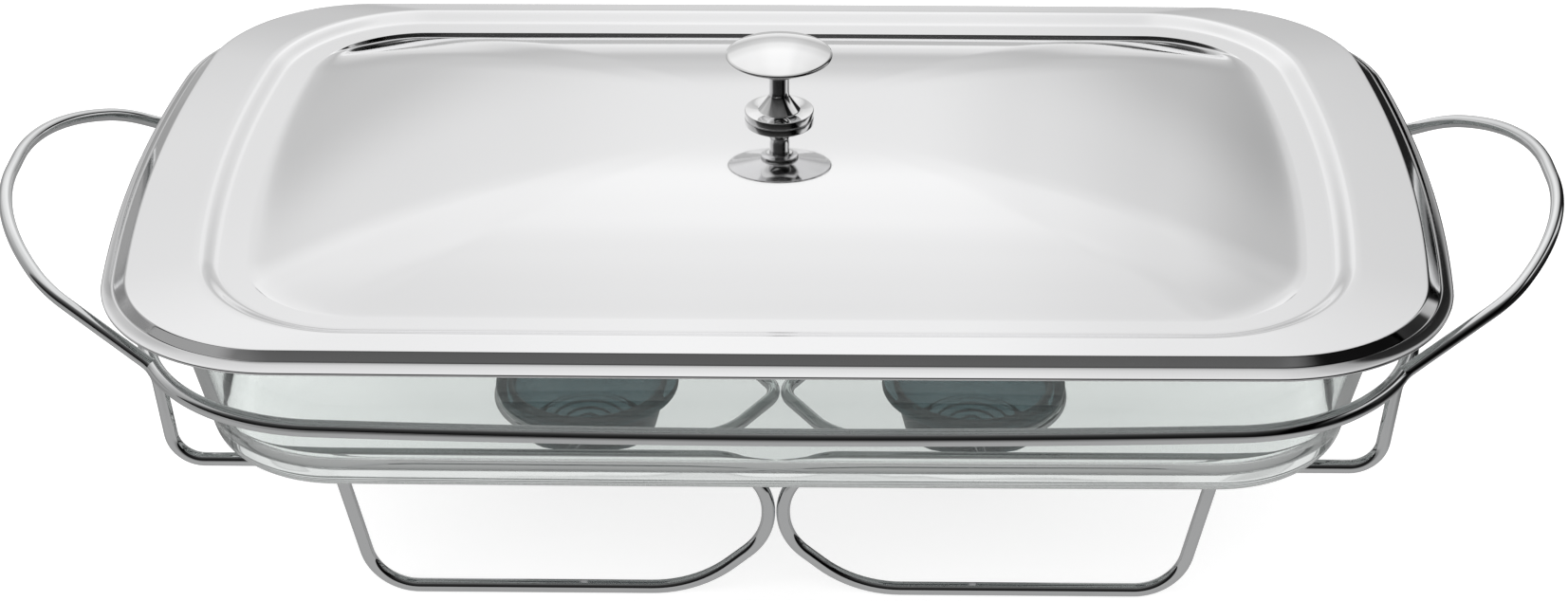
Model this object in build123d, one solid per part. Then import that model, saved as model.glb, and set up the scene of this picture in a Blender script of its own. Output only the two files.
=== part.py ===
from build123d import *
import os
from math import atan2, cos, hypot, radians, sin, sqrt, tan

# All sizes are in millimetres and all angles in degrees. The origin is on the table under
# the middle of the dish, +X to the right along the long side, +Y to the rear, +Z up.

# Lid, drawn from sheet: outline of its lip, then what lies inside it
lid_thickness = 0.8
lid_lip_height = 100.0
lid_half_length = 195.0
lid_half_depth = 117.6
lid_corner_radius = 55.8
lid_end_radius = 584.0
lid_side_radius = 20000.0
lid_lip_depth = 2.8
lid_lip_flare = 1.0
lid_lip_edge_radius = 0.6
lid_rise = 7.0
lid_shoulder_radius = 4.0
lid_seat_gap = 0.3
border_end_width = 27.0
border_side_width = 11.1
step_corner_radius = 48.0
step_end_radius = 500.0
step_width = 5.0
step_drop = 2.8
valley_width = 8.0
dome_rise = 17.0
dome_seat_half_width = 12.0
dome_seat_corner = 11.0
dome_seat_bow = 48.0
dome_sections = 6
dome_crown = 2.8

# Wires of the stand
rail_diameter = 5.0
wire_diameter = 4.0
tie_diameter = 3.0
tie_drop = 0.8

# Rail that runs round the dish, with a gap to the dish's wall at its own height
rail_height = 75.0
rail_end_gap = 9.5
rail_side_gap = 3.0
rail_corner_radius = 58.8
rail_end_radius = 600.0
rail_side_radius = 2600.0

# Carrying handles, measured in their own tilted plane from the rail outwards
handle_tilt = 28.5
handle_root_half_width = 71.5
handle_shoulder_reach = 36.9
handle_shoulder_half_width = 57.1
handle_shoulder_radius = 31.0
handle_reach = 60.2
handle_grip_half_width = 30.9
handle_grip_radius = 70.0

# Four base wires, each bent in one upright plane set in from the rail's long side
cradle_side_inset = 33.3
cradle_height = 45.6
drop_lean = 5.8
drop_bend_radius = 9.4
middle_touch_gap = 0.15
upper_hook_radius = 16.6
hook_knee_height = 20.4
hook_knee_radius = 18.0
hook_slope = 41.0
hook_toe_radius = 36.0
leg_foot_x = 117.8
leg_top_x = 127.4
leg_bend_radius = 15.6

# Wire loops that hold the candle cups
candle_x = 60.0
loop_half_width = 27.0
loop_height = 23.5
loop_end_flat = 1.0
loop_neck_half_width = 3.0
loop_neck_radius = 10.0
loop_shoulder_x = 17.0
loop_shoulder_radius = 20.0

# Pressed glass candle cups
cup_seat_gap = 0.3
cup_rim_radius = 28.4
cup_rim_thickness = 2.6
cup_rim_edge_radius = 1.0
cup_body_gap = 0.4
cup_base_radius = 21.0
cup_height = 18.5
cup_wall = 1.8
cup_floor = 2.6
cup_base_fillet = 3.0
cup_ring_pitch = 4.0
cup_ring_count = 4
cup_ring_height = 0.5
cup_ring_width = 1.4

# Glass dish, its wall set in from the lid's lip at the top and more at the bottom
dish_seat_gap = 0.3
dish_top_end_inset = 12.3
dish_top_side_inset = 8.6
dish_top_corner = 68.0
dish_top_end_radius = 560.0
dish_end_flare = 16.4
dish_side_flare = 14.6
dish_bottom_corner = 38.0
dish_bottom_end_radius = 520.0
dish_wall = 4.0
dish_floor = 5.5
dish_outer_fillet = 6.5
dish_inner_fillet = 9.0
dish_rim_thickness = 4.6
dish_rim_edge_radius = 2.0
dish_rim_inner_radius = 6.0
dish_rim_skirt_gap = 2.7

# Knob, turned in two pieces and held by one screw from below
knob_base_radius = 10.3
knob_base_edge = 2.3
knob_flare_height = 4.2
knob_neck_radius = 3.0
knob_neck_top = 14.2
knob_collar_radius = 5.7
knob_collar_height = 2.2
knob_cap_radius = 15.8
knob_cap_underside_rise = 3.0
knob_cap_edge = 1.2
knob_cap_crown = 2.9
knob_spigot_radius = 2.4
knob_spigot_length = 3.0
gasket_radius = 8.0
gasket_thickness = 0.8
screw_radius = 2.0
screw_length = 8.0
screw_hole_gap = 0.2
screw_head_radius = 3.8
screw_head_height = 2.4
washer_radius = 7.0
washer_thickness = 1.0

# How far a cut runs past the face that it opens
cut_past = 1.0

# Values that follow from the ones above
wire_radius = wire_diameter / 2
rail_radius = rail_diameter / 2
step_half_length = lid_half_length - border_end_width
step_half_depth = lid_half_depth - border_side_width
dish_top_half_length = lid_half_length - dish_top_end_inset
dish_top_half_depth = lid_half_depth - dish_top_side_inset
dish_bottom_half_length = dish_top_half_length - dish_end_flare
dish_bottom_half_depth = dish_top_half_depth - dish_side_flare
dish_underside = cradle_height + wire_radius + dish_seat_gap
lid_flange_top = lid_lip_height + lid_rise
dish_rim_top = lid_flange_top - lid_thickness - lid_seat_gap
valley_height = lid_flange_top - step_drop
lid_crown_height = valley_height + dome_rise
dish_share_at_rail = (rail_height - dish_underside) / (dish_rim_top - dish_underside)
dish_half_length_at_rail = dish_bottom_half_length + dish_end_flare * dish_share_at_rail
dish_half_depth_at_rail = dish_bottom_half_depth + dish_side_flare * dish_share_at_rail
rail_half_length = dish_half_length_at_rail + rail_end_gap + rail_radius
rail_half_depth = dish_half_depth_at_rail + rail_side_gap + rail_radius
cradle_half_depth = rail_half_depth - cradle_side_inset
hook_middle_x = wire_radius + middle_touch_gap


def arc_point(center, radius, angle):
    """Point on a circle, the angle in radians."""
    return (center[0] + radius * cos(angle), center[1] + radius * sin(angle))


def bowed_corner(half_length, half_depth, corner, end_radius, side_radius):
    """Middle of the circle that rounds one corner and touches the two bulging sides there."""
    end_center = half_length - end_radius
    side_center = half_depth - side_radius
    apart = hypot(end_center, side_center)
    to_end = end_radius - corner
    to_side = side_radius - corner
    along = (to_end**2 - to_side**2 + apart**2) / (2 * apart)
    off = sqrt(to_end**2 - along**2)
    step_x = -end_center / apart
    step_y = side_center / apart
    return (end_center + along * step_x - off * step_y, along * step_y + off * step_x)


def bowed_outline(half_length, half_depth, corner, end_radius, side_radius, height):
    """Closed outline of a rectangle whose four sides bulge and whose corners are round.

    Each side is one shallow arc, and each corner is an arc that touches both of its sides.
    """
    end_center = (half_length - end_radius, 0.0)
    side_center = (0.0, half_depth - side_radius)
    middle = bowed_corner(half_length, half_depth, corner, end_radius, side_radius)
    end_angle = atan2(middle[1], middle[0] - end_center[0])
    side_angle = atan2(middle[1] - side_center[1], middle[0])
    end_touch = arc_point(end_center, end_radius, end_angle)
    corner_middle = arc_point(middle, corner, (end_angle + side_angle) / 2)
    side_touch = arc_point(side_center, side_radius, side_angle)

    def at(point, flip_x, flip_y):
        return (flip_x * point[0], flip_y * point[1], height)

    edges = [
        ThreePointArc(at(end_touch, 1, -1), (half_length, 0, height), at(end_touch, 1, 1)),
        ThreePointArc(at(end_touch, 1, 1), at(corner_middle, 1, 1), at(side_touch, 1, 1)),
        ThreePointArc(at(side_touch, 1, 1), (0, half_depth, height), at(side_touch, -1, 1)),
        ThreePointArc(at(side_touch, -1, 1), at(corner_middle, -1, 1), at(end_touch, -1, 1)),
        ThreePointArc(at(end_touch, -1, 1), (-half_length, 0, height), at(end_touch, -1, -1)),
        ThreePointArc(at(end_touch, -1, -1), at(corner_middle, -1, -1), at(side_touch, -1, -1)),
        ThreePointArc(at(side_touch, -1, -1), (0, -half_depth, height), at(side_touch, 1, -1)),
        ThreePointArc(at(side_touch, 1, -1), at(corner_middle, 1, -1), at(end_touch, 1, -1)),
    ]
    return Wire(edges)


def lid_outline(inset, height):
    """Outline of the lid's lip, moved in by an inset."""
    return bowed_outline(
        lid_half_length - inset,
        lid_half_depth - inset,
        lid_corner_radius - inset,
        lid_end_radius - inset,
        lid_side_radius - inset,
        height,
    )


def step_outline(inset, height):
    """Outline of the pressed step inside the lid's flat border, moved in by an inset."""
    return bowed_outline(
        step_half_length - inset,
        step_half_depth - inset,
        step_corner_radius - inset,
        step_end_radius - inset,
        lid_side_radius - inset,
        height,
    )


def wire_along(path, radius):
    """Round wire swept along a path of lines and tangent arcs."""
    start = path.edges()[0]
    profile = Plane(origin=start @ 0, z_dir=start % 0) * Circle(radius)
    return sweep(profile, path=path)


def rail_reach(y):
    """X of the rail's middle line at y, on the round corner or on the bulging end."""
    middle_x, middle_y = bowed_corner(
        rail_half_length, rail_half_depth, rail_corner_radius, rail_end_radius, rail_side_radius
    )
    end_center = rail_half_length - rail_end_radius
    end_touch = rail_end_radius * sin(atan2(middle_y, middle_x - end_center))
    if y < end_touch:
        return end_center + sqrt(rail_end_radius**2 - y**2)
    return middle_x + sqrt(rail_corner_radius**2 - (y - middle_y) ** 2)


def make_rail():
    """Closed rail round the dish."""
    path = bowed_outline(
        rail_half_length,
        rail_half_depth,
        rail_corner_radius,
        rail_end_radius,
        rail_side_radius,
        rail_height,
    )
    return wire_along(path, rail_radius)


def make_handle(rail):
    """Right-hand loop handle, its two ends shaped to the rail that they are welded to."""
    plane = Plane(
        origin=(rail_reach(handle_root_half_width), 0, rail_height),
        x_dir=(cos(radians(handle_tilt)), 0, sin(radians(handle_tilt))),
        z_dir=(-sin(radians(handle_tilt)), 0, cos(radians(handle_tilt))),
    )
    half = [
        (0, handle_root_half_width),
        (handle_shoulder_reach, handle_shoulder_half_width),
        (handle_reach, handle_grip_half_width),
    ]
    points = half + [(reach, -width) for reach, width in reversed(half)]
    radii = [handle_shoulder_radius, handle_grip_radius, handle_grip_radius, handle_shoulder_radius]
    path = FilletPolyline(*[plane.from_local_coords((x, y, 0)) for x, y in points], radius=radii)
    return wire_along(path, wire_radius) - rail


def make_base_wire(rail):
    """Front right base wire: drop from the rail, cradle run, middle hook, foot and leg."""
    plane = Plane(origin=(0, -cradle_half_depth, 0), x_dir=(1, 0, 0), z_dir=(0, -1, 0))
    drop_top_x = rail_reach(cradle_half_depth)
    drop_foot_x = drop_top_x - (rail_height - cradle_height) * tan(radians(drop_lean))
    slope = tan(radians(hook_slope))
    toe_x = hook_middle_x + (hook_knee_height - wire_radius) / slope
    foot_middle_x = (toe_x + leg_foot_x) / 2

    def route(points, radii):
        corners = [plane.from_local_coords((x, y, 0)) for x, y in points]
        return FilletPolyline(*corners, radius=radii)

    inner = route(
        [
            (drop_top_x, rail_height),
            (drop_foot_x, cradle_height),
            (hook_middle_x, cradle_height),
            (hook_middle_x, hook_knee_height),
            (toe_x, wire_radius),
            (foot_middle_x, wire_radius),
        ],
        [drop_bend_radius, upper_hook_radius, hook_knee_radius, hook_toe_radius],
    )
    outer = route(
        [(foot_middle_x, wire_radius), (leg_foot_x, wire_radius), (leg_top_x, cradle_height)],
        [leg_bend_radius],
    )
    return wire_along(inner, wire_radius) + wire_along(outer, wire_radius) - rail


def make_candle_loop():
    """Right-hand wire loop that carries a candle cup, its neck at the middle of the stand."""
    far_x = candle_x + loop_half_width
    corners = [
        (hook_middle_x, -loop_neck_half_width),
        (hook_middle_x, loop_neck_half_width),
        (loop_shoulder_x, loop_half_width),
        (far_x, loop_half_width),
        (far_x, -loop_half_width),
        (loop_shoulder_x, -loop_half_width),
    ]
    far_radius = loop_half_width - loop_end_flat / 2
    radii = [
        loop_neck_radius,
        loop_neck_radius,
        loop_shoulder_radius,
        far_radius,
        far_radius,
        loop_shoulder_radius,
    ]
    points = [(x, y, loop_height) for x, y in corners]
    path = FilletPolyline(*points, radius=radii, close=True)
    return wire_along(path, wire_radius)


def make_tie(loop, base_wire):
    """Front right tie from the candle loop up to the cradle run of the base wire."""
    start = (candle_x, -loop_half_width, loop_height - tie_drop)
    end = (candle_x, -cradle_half_depth, cradle_height)
    return wire_along(Wire([Line(start, end)]), tie_diameter / 2) - loop - base_wire


def make_cup():
    """Pressed glass cup with a flange that hangs on its wire loop."""
    seat = loop_height + wire_radius + cup_seat_gap
    top = seat + cup_rim_thickness
    bottom = top - cup_height
    neck = loop_half_width - wire_radius - cup_body_gap
    outer = Polyline(
        (0, bottom),
        (cup_base_radius, bottom),
        (neck, seat),
        (cup_rim_radius, seat),
        (cup_rim_radius, top),
        (0, top),
        close=True,
    )
    body = revolve(Plane.XZ * make_face(outer), Axis.Z)
    body = fillet(body.edges().filter_by(GeomType.CIRCLE).group_by(Axis.Z)[0], cup_base_fillet)
    rim = body.edges().filter_by(GeomType.CIRCLE).group_by(Axis.Z)[-1]
    body = fillet(rim, cup_rim_edge_radius)
    inner = Polyline(
        (0, bottom + cup_floor),
        (cup_base_radius - cup_wall, bottom + cup_floor),
        (neck - cup_wall, seat),
        (neck - cup_wall, top + cut_past),
        (0, top + cut_past),
        close=True,
    )
    body -= revolve(Plane.XZ * make_face(inner), Axis.Z)
    for index in range(cup_ring_count):
        radius = cup_ring_pitch * (index + 1)
        ring = Circle(radius + cup_ring_width / 2) - Circle(radius - cup_ring_width / 2)
        body += Pos(0, 0, bottom + cup_floor) * extrude(ring, cup_ring_height)
    return Pos(candle_x, 0, 0) * body


def make_dish():
    """Deep rectangular glass dish with flared walls and a flat rim under the lid."""
    rim_underside = dish_rim_top - dish_rim_thickness

    def wall(inset, low, high, edge):
        bottom = bowed_outline(
            dish_bottom_half_length - inset,
            dish_bottom_half_depth - inset,
            dish_bottom_corner - inset,
            dish_bottom_end_radius - inset,
            lid_side_radius - inset,
            low,
        )
        top = bowed_outline(
            dish_top_half_length - inset,
            dish_top_half_depth - inset,
            dish_top_corner - inset,
            dish_top_end_radius - inset,
            lid_side_radius - inset,
            high,
        )
        solid = loft([make_face(bottom), make_face(top)], ruled=True)
        return fillet(solid.edges().group_by(Axis.Z)[0], edge)

    inset = lid_lip_flare + lid_thickness + dish_rim_skirt_gap
    rim = extrude(make_face(lid_outline(inset, rim_underside)), dish_rim_thickness)
    rim = fillet(rim.edges().group_by(Axis.Z)[-1], dish_rim_edge_radius)
    rim = fillet(rim.edges().group_by(Axis.Z)[0], dish_rim_edge_radius)
    shell = wall(0, dish_underside, dish_rim_top - dish_rim_edge_radius, dish_outer_fillet) + rim
    shell -= wall(dish_wall, dish_underside + dish_floor, dish_rim_top, dish_inner_fillet)
    rim_face = shell.faces().group_by(Axis.Z)[-1].sort_by(SortBy.AREA)[-1]
    mouth = rim_face.inner_wires()[0].edges()
    return fillet(mouth, dish_rim_inner_radius)


def dome_outline(share, height):
    """Outline of the crowned panel: 1 is its foot in the valley, 0 is the seat of the knob."""
    inset = step_width + valley_width
    foot = (
        step_half_length - inset,
        step_half_depth - inset,
        step_corner_radius - inset,
        step_end_radius - inset,
    )
    seat = (dome_seat_half_width, dome_seat_half_width, dome_seat_corner, dome_seat_bow)
    length, depth, corner, end = [low + (high - low) * share for low, high in zip(seat, foot)]
    side = dome_seat_bow + (lid_side_radius - dome_seat_bow) * share**3
    return bowed_outline(length, depth, corner, end, side, height)


def lid_form(depth):
    """Filled form of the lid. A depth above 0 gives the form that lies that far inside it."""
    top = lid_flange_top - depth
    skirt = extrude(make_face(lid_outline(lid_lip_flare + depth, lid_lip_height)), lid_rise - depth)
    skirt = fillet(skirt.edges().group_by(Axis.Z)[-1], lid_shoulder_radius - depth)
    if depth:
        low = lid_lip_height - cut_past
        lip = extrude(make_face(lid_outline(depth, low)), lid_lip_depth + cut_past - depth)
    else:
        lip = extrude(make_face(lid_outline(0, lid_lip_height)), lid_lip_depth)
        lip = fillet(lip.edges().group_by(Axis.Z)[-1], lid_lip_edge_radius)
    foot = valley_height - depth
    recess = loft(
        [
            make_face(step_outline(step_width - depth / 2, foot)),
            make_face(step_outline(-depth / 2, top)),
        ],
        ruled=True,
    )
    shares = [1 - index / (dome_sections - 1) for index in range(dome_sections)]
    sections = []
    for share in shares:
        rise = dome_rise * (1 - share**dome_crown)
        sections.append(make_face(dome_outline(share, foot + rise)))
    return skirt + lip - recess + loft(sections)


def make_lid():
    """Thin drawn lid: lip, skirt, flat border, step, valley and crown, with the screw hole."""
    shell = lid_form(0) - lid_form(lid_thickness)
    hole = Cylinder(screw_radius + screw_hole_gap, dome_rise)
    return shell - Pos(0, 0, lid_crown_height) * hole


def knob_profile(points):
    """Solid turned about the upright axis through the middle of the lid."""
    outline = make_face(Polyline(*points, close=True))
    return Pos(0, 0, lid_crown_height) * revolve(Plane.XZ * outline, Axis.Z)


def make_knob_stem():
    """Turned stem: base with a recess for the gasket, flare, neck, collar and spigot."""
    flare_top = knob_base_edge + knob_flare_height
    collar_top = knob_neck_top + knob_collar_height
    slope = cos(radians(45))
    waist = Polyline(
        (0, gasket_thickness),
        (gasket_radius, gasket_thickness),
        (gasket_radius, 0),
        (knob_base_radius, 0),
        (knob_base_radius, knob_base_edge),
    )
    flare = ThreePointArc(
        (knob_base_radius, knob_base_edge),
        (
            knob_neck_radius + (knob_base_radius - knob_neck_radius) * (1 - slope),
            knob_base_edge + knob_flare_height * (1 - slope),
        ),
        (knob_neck_radius, flare_top),
    )
    upper = Polyline(
        (knob_neck_radius, flare_top),
        (knob_neck_radius, knob_neck_top),
        (knob_collar_radius, knob_neck_top),
        (knob_collar_radius, collar_top),
        (knob_spigot_radius, collar_top),
        (knob_spigot_radius, collar_top + knob_spigot_length),
        (0, collar_top + knob_spigot_length),
        (0, gasket_thickness),
    )
    face = make_face([*waist.edges(), flare, *upper.edges()])
    stem = revolve(Plane.XZ * face, Axis.Z)
    depth = screw_length - lid_thickness - washer_thickness
    bore = Cylinder(screw_radius, depth, align=(Align.CENTER, Align.CENTER, Align.MIN))
    return Pos(0, 0, lid_crown_height) * (stem - bore)


def make_knob_cap():
    """Domed cap with a conical underside and a blind bore for the stem's spigot."""
    low = knob_neck_top + knob_collar_height
    rim = low + knob_cap_underside_rise
    edge_top = rim + knob_cap_edge
    under = Polyline(
        (0, low),
        (knob_collar_radius, low),
        (knob_cap_radius - knob_cap_edge / 2, rim),
        (knob_cap_radius, rim + knob_cap_edge / 2),
        (knob_cap_radius - knob_cap_edge / 4, edge_top),
    )
    top = edge_top + knob_cap_crown
    crown = TangentArc(
        (0, top),
        (knob_cap_radius - knob_cap_edge / 4, edge_top),
        tangent=(1, 0),
    )
    closing = Line((0, top), (0, low))
    body = revolve(Plane.XZ * make_face([*under.edges(), crown, closing]), Axis.Z)
    bore = Cylinder(
        knob_spigot_radius, knob_spigot_length, align=(Align.CENTER, Align.CENTER, Align.MIN)
    )
    return Pos(0, 0, lid_crown_height) * (body - Pos(0, 0, low) * bore)


def make_gasket():
    """Soft ring in the recess under the knob's base."""
    return knob_profile(
        [
            (screw_radius, 0),
            (gasket_radius, 0),
            (gasket_radius, gasket_thickness),
            (screw_radius, gasket_thickness),
        ]
    )


def make_washer():
    """Steel washer on the underside of the lid."""
    top = -lid_thickness
    return knob_profile(
        [
            (screw_radius, top),
            (washer_radius, top),
            (washer_radius, top - washer_thickness),
            (screw_radius, top - washer_thickness),
        ]
    )


def make_screw():
    """Round-headed screw that clamps washer, lid and knob together."""
    seat = -lid_thickness - washer_thickness
    shank = Polyline(
        (screw_head_radius, seat), (screw_radius, seat), (screw_radius, seat + screw_length),
        (0, seat + screw_length), (0, seat - screw_head_height),
    )
    head = TangentArc(
        (0, seat - screw_head_height),
        (screw_head_radius, seat),
        tangent=(1, 0),
    )
    body = revolve(Plane.XZ * make_face([*shank.edges(), head]), Axis.Z)
    return Pos(0, 0, lid_crown_height) * body


def build():
    """All pieces by name."""
    left = Plane.YZ
    rear = Plane.XZ
    rail = make_rail()
    handle = make_handle(rail)
    base_wire = make_base_wire(rail)
    loop = make_candle_loop()
    tie = make_tie(loop, base_wire)
    cup = make_cup()
    pieces = {
        "ring_rail": rail,
        "handle_right": handle,
        "handle_left": mirror(handle, left),
        "candle_loop_right": loop,
        "candle_loop_left": mirror(loop, left),
        "candle_cup_right": cup,
        "candle_cup_left": mirror(cup, left),
        "glass_dish": make_dish(),
        "lid_shell": make_lid(),
        "knob_cap": make_knob_cap(),
        "knob_stem": make_knob_stem(),
        "knob_gasket": make_gasket(),
        "knob_washer": make_washer(),
        "knob_screw": make_screw(),
    }
    for name, piece in (("base_wire", base_wire), ("loop_tie", tie)):
        pieces[name + "_front_right"] = piece
        pieces[name + "_front_left"] = mirror(piece, left)
        pieces[name + "_rear_right"] = mirror(piece, rear)
        pieces[name + "_rear_left"] = Rot(0, 0, 180) * piece
    return pieces


os.makedirs("parts", exist_ok=True)
for node, piece in build().items():
    export_step(piece, os.path.join("parts", node + ".step"))
    print(node, round(piece.volume, 1))
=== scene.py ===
"""Oblong glass chafing dish with a domed steel lid, set in a wire stand with two candle cups.

Every shape is a surface worked out with numpy in metres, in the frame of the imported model:
the origin on the table under the middle of the dish, +X to the right, +Y to the rear, +Z up.
"""

from __future__ import annotations

import logging
import math
from dataclasses import astuple, dataclass
from enum import Enum
from functools import cache
from typing import Any

import bmesh
import bpy
import numpy as np
from bpy.types import ID, Material, Node, NodeSocket, NodeTree, Object
from mathutils import Matrix, Quaternion, Vector


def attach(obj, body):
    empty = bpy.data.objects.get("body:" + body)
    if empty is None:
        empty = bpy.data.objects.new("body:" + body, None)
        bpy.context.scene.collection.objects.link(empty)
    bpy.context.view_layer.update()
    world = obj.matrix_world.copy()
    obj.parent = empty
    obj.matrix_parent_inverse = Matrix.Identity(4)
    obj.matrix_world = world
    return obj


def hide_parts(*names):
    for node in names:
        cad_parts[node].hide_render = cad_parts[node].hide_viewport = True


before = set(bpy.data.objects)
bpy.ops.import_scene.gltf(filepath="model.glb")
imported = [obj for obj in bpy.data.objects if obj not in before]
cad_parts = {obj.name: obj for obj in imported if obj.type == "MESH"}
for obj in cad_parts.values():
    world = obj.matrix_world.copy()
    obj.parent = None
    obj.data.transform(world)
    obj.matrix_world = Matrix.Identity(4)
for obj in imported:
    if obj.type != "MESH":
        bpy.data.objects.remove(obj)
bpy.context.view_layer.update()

LOG = logging.getLogger("chafing_dish")
MM = 0.001
WIRE_SIDES = 28

Pair = tuple[float, float]
Pairs = tuple[Pair, ...]


class Half(Enum):
    """Half of the stand; the value is the sign of an axis."""

    @property
    def word(self) -> str:
        """The name as it stands in the names of pieces."""
        return self.name.lower()


class Side(Half):
    """Left or right half; the value is the sign of X."""

    LEFT = -1
    RIGHT = 1


class End(Half):
    """Front or rear half; the value is the sign of Y."""

    FRONT = -1
    REAR = 1


# Mesh makers


def build_mesh(name: str, points: np.ndarray, faces: list[np.ndarray]) -> Object:
    """Put points and polygons into a smooth-shaded mesh object at the origin.

    Args:
        name: Name of the object and of its mesh.
        points: Vertex positions in metres, shape (n, 3).
        faces: Index arrays, one per polygon size, each of shape (polygons, corners).

    Returns:
        The linked object.
    """
    mesh = bpy.data.meshes.new(name)
    polygons = [corners for group in faces for corners in group.tolist()]
    mesh.from_pydata(points.tolist(), [], polygons)
    mesh.validate()
    mesh.shade_smooth()
    piece = bpy.data.objects.new(name, mesh)
    bpy.context.scene.collection.objects.link(piece)
    return piece


def grid_faces(rows: int, columns: int, close_rows: bool) -> np.ndarray:
    """Quads of a grid whose columns always close into a loop.

    Corner (i, j) is vertex i * columns + j; each quad joins rows i, i + 1 and columns j, j + 1.

    Args:
        rows: Number of loops.
        columns: Number of points in each loop.
        close_rows: Whether the last loop joins the first.

    Returns:
        Index array of shape (quads, 4).
    """
    last = rows if close_rows else rows - 1
    i, j = np.meshgrid(np.arange(last), np.arange(columns), indexing="ij")
    below = (i + 1) % rows
    beside = (j + 1) % columns
    quads = [i * columns + j, i * columns + beside, below * columns + beside, below * columns + j]
    return np.stack(quads, axis=-1).reshape(-1, 4)


def closed_loft(name: str, loops: np.ndarray, ring: bool = False) -> Object:
    """Closed surface through a stack of loops.

    Args:
        name: Name of the piece.
        loops: Positions, shape (rows, columns, 3).
        ring: True when the last loop joins the first; otherwise both ends close on a point.

    Returns:
        The piece, its faces turned outwards.
    """
    rows, columns = loops.shape[:2]
    points = loops.reshape(-1, 3)
    faces = [grid_faces(rows, columns, ring)]
    if not ring:
        first, last = len(points), len(points) + 1
        points = np.vstack([points, loops[0].mean(axis=0), loops[-1].mean(axis=0)])
        j = np.arange(columns)
        beside = (j + 1) % columns
        end = (rows - 1) * columns
        faces.append(np.stack([np.full(columns, first), beside, j], axis=-1))
        faces.append(np.stack([np.full(columns, last), end + j, end + beside], axis=-1))
    piece = build_mesh(name, points, faces)
    solid = bmesh.new()
    solid.from_mesh(piece.data)
    if solid.calc_volume(signed=True) < 0:
        piece.data.flip_normals()
    solid.free()
    return piece


def turned(profile: np.ndarray, center: Pair, segments: int) -> np.ndarray:
    """Loops of a profile turned about an upright axis: (r, z) goes to (r cos t, r sin t, z).

    Args:
        profile: Radius and height pairs in metres, shape (n, 2).
        center: X and Y of the axis in metres.
        segments: Number of steps round the axis.

    Returns:
        Positions, shape (n, segments, 3).
    """
    t = np.linspace(0, 2 * np.pi, segments, endpoint=False)
    radius = profile[:, :1]
    height = np.repeat(profile[:, 1:], segments, axis=1)
    parts = [center[0] + radius * np.cos(t), center[1] + radius * np.sin(t), height]
    return np.stack(parts, axis=-1)


def arc(center: Pair, radius: float, start: float, end: float, steps: int) -> np.ndarray:
    """Points of a circular arc in a profile, angles in degrees, both ends kept."""
    t = np.radians(np.linspace(start, end, steps))
    return np.stack([center[0] + radius * np.cos(t), center[1] + radius * np.sin(t)], axis=-1)


def straight(start: Pair, end: Pair, steps: int) -> np.ndarray:
    """Evenly spaced points of a straight run in a profile, both ends kept."""
    return np.linspace(start, end, steps)


def rounded(corners: np.ndarray, radii: np.ndarray, closed: bool, step: float) -> np.ndarray:
    """Route of straight runs joined by tangent arcs.

    At each corner the arc starts radius * tan(half the turn) before the corner and ends as far
    after it; its centre lies on the bisector of the two runs.

    Args:
        corners: Corner positions in metres, shape (n, 3).
        radii: One radius per corner; an open route's two ends have none.
        closed: Whether the last corner joins the first.
        step: Greatest turn between neighbouring points, in degrees.

    Returns:
        Positions along the route, shape (m, 3).
    """
    count = len(corners)
    bends = range(count) if closed else range(1, count - 1)
    parts = [] if closed else [corners[:1]]
    for place, index in enumerate(bends):
        before, here, after = corners[index - 1], corners[index], corners[(index + 1) % count]
        into = (here - before) / np.linalg.norm(here - before)
        out = (after - here) / np.linalg.norm(after - here)
        turn = math.acos(float(np.clip(into @ out, -1, 1)))
        reach = radii[place] * math.tan(turn / 2)
        inward = out - into
        inward /= np.linalg.norm(inward)
        middle = here + inward * (radii[place] / math.cos(turn / 2))
        start = here - into * reach
        spoke = (start - middle) / radii[place]
        steps = max(3, int(math.degrees(turn) / step) + 2)
        t = np.linspace(0, turn, steps)[:, None]
        parts.append(middle + radii[place] * (spoke * np.cos(t) + into * np.sin(t)))
    if not closed:
        parts.append(corners[-1:])
    return np.vstack(parts)


def tube(name: str, route: np.ndarray, normal: np.ndarray, radius: float, closed: bool,
         flare: Pair = (0.0, 0.0)) -> Object:
    """Round wire along a flat route.

    Each section is p + r (n cos a + (n x t) sin a), with n the normal of the route's plane and t
    the direction of the wire. At a welded end the radius swells by the flare.

    Args:
        name: Name of the piece.
        route: Middle line in metres, shape (n, 3).
        normal: Unit normal of the plane that the route lies in.
        radius: Radius of the wire in metres.
        closed: Whether the wire is a closed ring.
        flare: Swelling at a weld as a share of the radius, and its length in metres.

    Returns:
        The wire as a closed mesh.
    """
    if closed:
        ahead = np.roll(route, -1, axis=0) - np.roll(route, 1, axis=0)
    else:
        ahead = np.gradient(route, axis=0)
    ahead /= np.linalg.norm(ahead, axis=1, keepdims=True)
    across = np.cross(normal, ahead)
    a = np.linspace(0, 2 * np.pi, WIRE_SIDES, endpoint=False)
    thickness = np.full(len(route), radius)
    if flare[0] > 0:
        travel = np.concatenate([[0], np.cumsum(np.linalg.norm(np.diff(route, axis=0), axis=1))])
        from_end = np.minimum(travel, travel[-1] - travel)
        thickness = thickness * (1 + flare[0] * np.exp(-((from_end / flare[1]) ** 2)))
    ring = normal * np.cos(a)[:, None] + across[:, None, :] * np.sin(a)[:, None]
    return closed_loft(name, route[:, None, :] + thickness[:, None, None] * ring, closed)


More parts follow.
